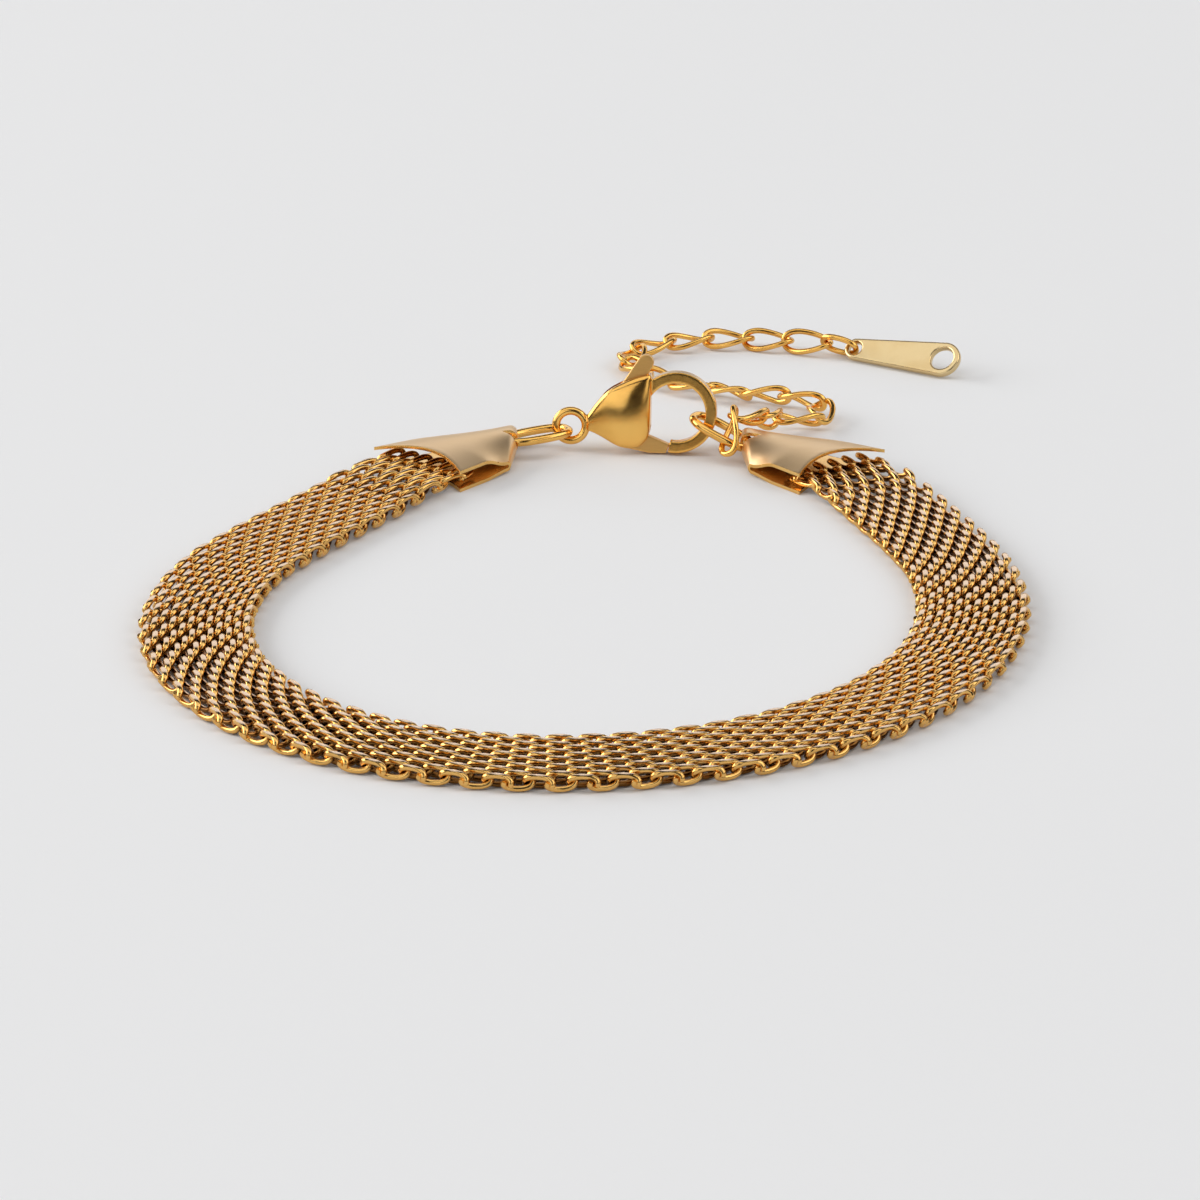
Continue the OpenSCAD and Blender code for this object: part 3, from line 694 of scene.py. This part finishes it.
# The clasp's body: one polished casting of gold-plated steel with its eye and its hook. It is
# slotted for the lever, which turns on a pin between its two cheeks.
CLASP_BODY_LENGTH = 6.05
CLASP_BODY_HEIGHT = 5.5
CLASP_BODY_THICKNESS = 2.7
CLASP_RIM = 1.6
CLASP_NECK = 1.3
CLASP_RINGS = 40
CLASP_RISE_STEPS = 21
# Where the crown is lower than this share, the rim is thinner too
FULL_RIM_CROWN = 1 / 1.2
EYE_D = 2.9
EYE_WIRE = 0.65
EYE_STEPS = 64
EYE_SIDES = 24
HOOK_STEPS = 90
HOOK_R = 2.65
HOOK_WIDTH = 0.85
HOOK_THICKNESS = 1.3
HOOK_FROM = -101
HOOK_TO = 148
HOOK_TOP = 0.705
HOOK_OUT = 0.717
PIVOT_SHARE = (0.547, -0.055)
LEVER_THICKNESS = 0.8
LEVER_GAP = 0.12
LEVER_SWING = 20
SWING_STEPS = 6
PIN_D = 0.6
DISC_STEPS = 48
JAW_GAP = 0.17
CAST_GRAIN = 0.07
CAST_SMOOTHING = 6
# From the neck to the wide end: share of the length, top and bottom as shares of the height,
# crown as a share of the thickness
CLASP_SECTIONS = np.array([
    (0.00, 0.17, -0.05, 0.50), (0.13, 0.33, -0.09, 0.66), (0.27, 0.47, -0.15, 0.80),
    (0.39, 0.55, -0.21, 0.90), (0.52, 0.61, -0.26, 0.97), (0.67, 0.67, -0.28, 1.00),
    (0.80, 0.71, -0.26, 0.97), (0.90, 0.73, -0.19, 0.90), (0.97, 0.74, -0.10, 0.80),
    (1.00, 0.74, 0.02, 0.66)])
# The lever about its pin: the jaw in shares of its reach, the rest in shares of the height
JAW_OUTLINE = np.array([
    (-0.09, -0.21), (0.08, -0.35), (0.55, -0.44), (0.92, -0.44), (1.00, -0.26), (0.56, -0.08),
    (0.21, 0.09), (0.00, 0.15)])
ARM_OUTLINE = np.array([
    (-0.125, 0.036), (-0.055, 0.60), (-0.007, 0.664), (0.221, 1.014), (0.407, 0.900),
    (0.255, 0.636), (0.164, 0.236), (0.127, 0.036)])
HUB_SHARE = 0.138
TAB_SHARE = (0.313, 0.955)
TAB_R_SHARE = 0.109

joint = frame["joints"][0]
clasp_out = np.array(joint["axis"])
clasp_x = -np.cross(clasp_out, (0, 0, 1))
clasp_x /= np.linalg.norm(clasp_x)
clasp_up = np.cross(clasp_out, clasp_x)
body_run = CLASP_BODY_LENGTH - CLASP_NECK
pivot = np.array([CLASP_NECK + PIVOT_SHARE[0] * body_run, PIVOT_SHARE[1] * CLASP_BODY_HEIGHT])
eye_at = np.array(joint["pos_m"]) / MM - pivot[0] * clasp_x - pivot[1] * clasp_up
hook_centre = np.array([CLASP_BODY_LENGTH + HOOK_R * HOOK_OUT, CLASP_BODY_HEIGHT * HOOK_TOP - HOOK_R])
jaw_reach = np.linalg.norm(
    hook_centre + (HOOK_R + HOOK_WIDTH / 2) * heading(HOOK_FROM) - pivot) - JAW_GAP


def through_rows(rows, count):
    """More rows on smooth curves through the given ones."""
    rows = np.asarray(rows, float)
    before = np.vstack([2 * rows[0] - rows[1], rows, 2 * rows[-1] - rows[-2]])
    made = []
    for t in np.linspace(0, len(rows) - 1, count):
        i = min(int(t), len(rows) - 2)
        u = t - i
        a, b, c, d = before[i:i + 4]
        made.append(0.5 * (
            2 * b + (c - a) * u + (2 * a - 5 * b + 4 * c - d) * u * u
            + (3 * b - a - 3 * c + d) * u ** 3))
    return np.array(made)


def skin(rings):
    """Points and faces over rings of equally many points, closed at both ends."""
    n = len(rings[0])
    faces = []
    for i in range(len(rings) - 1):
        for j in range(n):
            k = (j + 1) % n
            faces.append((i * n + j, (i + 1) * n + j, (i + 1) * n + k, i * n + k))
    faces.append(tuple(range(n)))
    faces.append(tuple((len(rings) - 1) * n + j for j in range(n))[::-1])
    return np.concatenate(rings), faces


def clasp_shell():
    """The body's rounded form, from the neck to the wide end."""
    rings = []
    for length, top, bottom, crown in through_rows(CLASP_SECTIONS, CLASP_RINGS):
        rise = np.linspace(0, 1, CLASP_RISE_STEPS)
        rim = CLASP_RIM / 2 * min(1, crown / FULL_RIM_CROWN)
        bulge = rim + (CLASP_BODY_THICKNESS * crown / 2 - rim) * np.sqrt(np.clip(dome(rise), 0, 1))
        y = (bottom + (top - bottom) * rise) * CLASP_BODY_HEIGHT
        x = np.full_like(y, CLASP_NECK + length * body_run)
        front = np.column_stack([x, y, bulge])
        back = np.column_stack([x, y, -bulge])[::-1]
        rings.append(np.concatenate([front, back]))
    return skin(rings)


def plate(outline, thickness):
    """A flat plate of that outline, half its thickness below and half above."""
    outline = np.asarray(outline, float)
    ahead = np.roll(outline, -1, 0)
    if (outline[:, 0] * ahead[:, 1] - outline[:, 1] * ahead[:, 0]).sum() > 0:
        outline = outline[::-1]
    low = np.column_stack([outline, np.full(len(outline), -thickness / 2)])
    high = np.column_stack([outline, np.full(len(outline), thickness / 2)])
    return skin([low, high])


def disc(middle, radius, thickness):
    """A round plate."""
    round_line = heading(np.linspace(0, 360, DISC_STEPS, endpoint=False))
    return plate(np.array(middle) + radius * round_line, thickness)


def bent_bar(middle, radius, width, thickness, start, end):
    """A flat bar bent to an arc."""
    rings = []
    for direction in heading(np.linspace(start, end, HOOK_STEPS)):
        corners = ((-width / 2, -thickness / 2), (width / 2, -thickness / 2),
                   (width / 2, thickness / 2), (-width / 2, thickness / 2))
        rings.append(np.array([(*(middle + (radius + a) * direction), b) for a, b in corners]))
    return skin(rings)


def cast(piece, grain, smoothing):
    """Melts overlapping solids into one, with soft edges, as a casting has."""
    melt = piece.modifiers.new("melt", "REMESH")
    melt.mode = "VOXEL"
    melt.voxel_size = grain
    soften = piece.modifiers.new("soften", "SMOOTH")
    soften.iterations = smoothing
    work(piece)


def stand(piece, x, y, z, at):
    """Turns a piece from the three axes to three directions and moves it from the origin."""
    rows = [(float(x[i]), float(y[i]), float(z[i]), float(at[i])) for i in range(3)]
    piece.data.transform(Matrix((*rows, (0, 0, 0, 1))))


def lever_solids(thickness, turn=0, grow=0):
    """The lever's jaw, arm, hub and tab as plates on its pin, turned and grown all round."""
    jaw, arm = JAW_OUTLINE * jaw_reach, ARM_OUTLINE * CLASP_BODY_HEIGHT
    solids = [
        plate(jaw, thickness), plate(arm, thickness),
        disc((0, 0), HUB_SHARE * CLASP_BODY_HEIGHT, thickness),
        disc(np.array(TAB_SHARE) * CLASP_BODY_HEIGHT, TAB_R_SHARE * CLASP_BODY_HEIGHT, thickness)]
    c, s = math.cos(math.radians(turn)), math.sin(math.radians(turn))
    made = []
    for points, faces in solids:
        middle = points.mean(0)
        points = points.copy()
        points[:, :2] += grow * (points[:, :2] - middle[:2]) / np.linalg.norm(
            points[:, :2] - middle[:2], axis=1)[:, None]
        points[:, :2] = points[:, :2] @ np.array([(c, s), (-s, c)]) + pivot
        made.append((points, faces))
    return made


clasp_finish = polished("cast_clasp_gold", GOLD, GOLD_DEEP, 0.13, cloud=3.0)
eye_turn = np.linspace(0, 2 * math.pi, EYE_STEPS, endpoint=False)
eye_out = np.column_stack([np.cos(eye_turn), np.sin(eye_turn), np.zeros(EYE_STEPS)])
eye = tube(eye_out * (EYE_D - EYE_WIRE) / 2, eye_out, EYE_WIRE / 2, EYE_SIDES, True)
hook = bent_bar(hook_centre, HOOK_R, HOOK_WIDTH, HOOK_THICKNESS, HOOK_FROM, HOOK_TO)
points, faces = joined([clasp_shell(), eye, hook])
body = new_piece("clasp_casting", points, faces, [clasp_finish])
cast(body, CAST_GRAIN, CAST_SMOOTHING)
slot_thickness = LEVER_THICKNESS + 2 * LEVER_GAP
swept = []
for turn in np.linspace(0, LEVER_SWING, SWING_STEPS):
    swept += lever_solids(slot_thickness, turn, LEVER_GAP)
points, faces = joined(swept)
slot_cutter = new_piece("slot_cutter", points, faces, [clasp_finish])
cast(slot_cutter, CAST_GRAIN, 0)
cut(body, slot_cutter)
points, faces = disc(pivot, PIN_D / 2, slot_thickness + LEVER_GAP)
cut(body, new_piece("pin", points, faces, [clasp_finish]), "UNION")
stand(body, clasp_x, clasp_up, clasp_out, eye_at)
settle(body, "clasp_body", sharp=50)

# The clasp's lever: one stamped piece of gold-plated steel with its jaw below, its hub on the
# pin and its thumb tab above. It is brushed, and its rim is softly rounded.
LEVER_GRAIN = 0.055
LEVER_SMOOTHING = 3
PIN_GAP = 0.08
BORER_HEIGHT = 3
LEVER_GOLD = (0.92, 0.56, 0.19)
LEVER_SHADE = (0.78, 0.43, 0.13)
lever_finish = Finish("brushed_lever_gold", GOLD, 0.3)
strokes = lever_finish.noise(0.35, 3, stretch=(0.4, 1.0, 3.0))
lever_finish.set("Base Color", lever_finish.blend(strokes * 0.7, LEVER_GOLD, LEVER_SHADE))
lever_finish.set("Roughness", 0.24 + strokes * 0.2)
lever_finish.bump(strokes, 0.005, 0.4)
points, faces = joined(lever_solids(LEVER_THICKNESS))
lever = new_piece("clasp_lever_plate", points, faces, [lever_finish])
cast(lever, LEVER_GRAIN, LEVER_SMOOTHING)
points, faces = disc(pivot, PIN_D / 2 + PIN_GAP, BORER_HEIGHT)
cut(lever, new_piece("bore", points, faces, [lever_finish]))
stand(lever, clasp_x, clasp_up, clasp_out, eye_at)
settle(lever, "clasp_lever", sharp=50, body="lever")

# The extension chain: curb links of round gold-plated wire, each twisted so that the chain
# lies flat, and a last plain link that holds the tag.
LINK_LENGTH = 4.28
LINK_WIDTH = 2.28
LINK_WIRE = 0.46
LINK_TWIST = 80
TAG_LINK_LENGTH = 3.4
TAG_LINK_WIDTH = 1.95
TAG_LINK_WIRE = 0.47
LINK_BOW = 2.35
LINK_STEPS = 56
LINK_SIDES = 14
chain_finish = polished("chain_gold", GOLD, GOLD_DEEP, 0.14, cloud=1.4)
for node in sorted(frame["nodes"]):
    if node.startswith("link_"):
        sizes = (LINK_LENGTH, LINK_WIDTH, LINK_WIRE, LINK_TWIST)
    elif node == "tag_link":
        sizes = (TAG_LINK_LENGTH, TAG_LINK_WIDTH, TAG_LINK_WIRE, 0)
    else:
        continue
    points, faces = oval_wire(*sizes, LINK_BOW, LINK_STEPS, LINK_SIDES)
    link = new_piece(f"{node}_wire", placed(points, *lie_of(node)), faces, [chain_finish])
    settle(link, node)

# The tag: a small stamped drop of polished gold-plated steel with rounded edges and a hole in
# each end. It leans on the surface, and its face is bare.
TAG_LENGTH = 7.6
TAG_WIDE_R = 1.45
TAG_NARROW_R = 0.9
TAG_THICKNESS = 0.6
TAG_HOLE_D = 1.85
TAG_EYE_D = 1.1
TAG_ROUND = 0.2
TAG_WIDE_STEPS = 60
TAG_NARROW_STEPS = 40
TAG_GOLD = (0.76, 0.58, 0.31)
TAG_SHADE = (0.66, 0.45, 0.19)
tag_mount = next(m for m in frame["record"]["mounts"] if m["name"] == "tag_hole")
tag_out = np.array(tag_mount["axis"])
tag_wide_at = np.array(tag_mount["pos_m"]) / MM
_, tag_long, _, _ = lie_of("tag")
tag_long = tag_long * np.sign(tag_long[0])
tag_long = tag_long - tag_out * (tag_long @ tag_out)
tag_long /= np.linalg.norm(tag_long)
tag_side = np.cross(tag_out, tag_long)
taper = math.degrees(math.acos((TAG_WIDE_R - TAG_NARROW_R) / TAG_LENGTH))
wide_end = TAG_WIDE_R * heading(np.linspace(-180 + taper, 180 - taper, TAG_WIDE_STEPS))
narrow_end = TAG_NARROW_R * heading(np.linspace(180 - taper, 180 + taper, TAG_NARROW_STEPS))
points, faces = plate(np.concatenate([wide_end, (-TAG_LENGTH, 0) + narrow_end]), TAG_THICKNESS)
tag_finish = polished("pale_tag_gold", TAG_GOLD, TAG_SHADE, 0.16)
tag = new_piece("tag_plate", points, faces, [tag_finish])
for middle, width in (((0, 0), TAG_HOLE_D), ((-TAG_LENGTH, 0), TAG_EYE_D)):
    points, faces = disc(middle, width / 2, BORER_HEIGHT)
    cut(tag, new_piece("hole", points, faces, [tag_finish]))
round_edges(tag, TAG_ROUND, steps=5)
stand(tag, tag_long, tag_side, tag_out, tag_wide_at)
settle(tag, "tag", sharp=30)
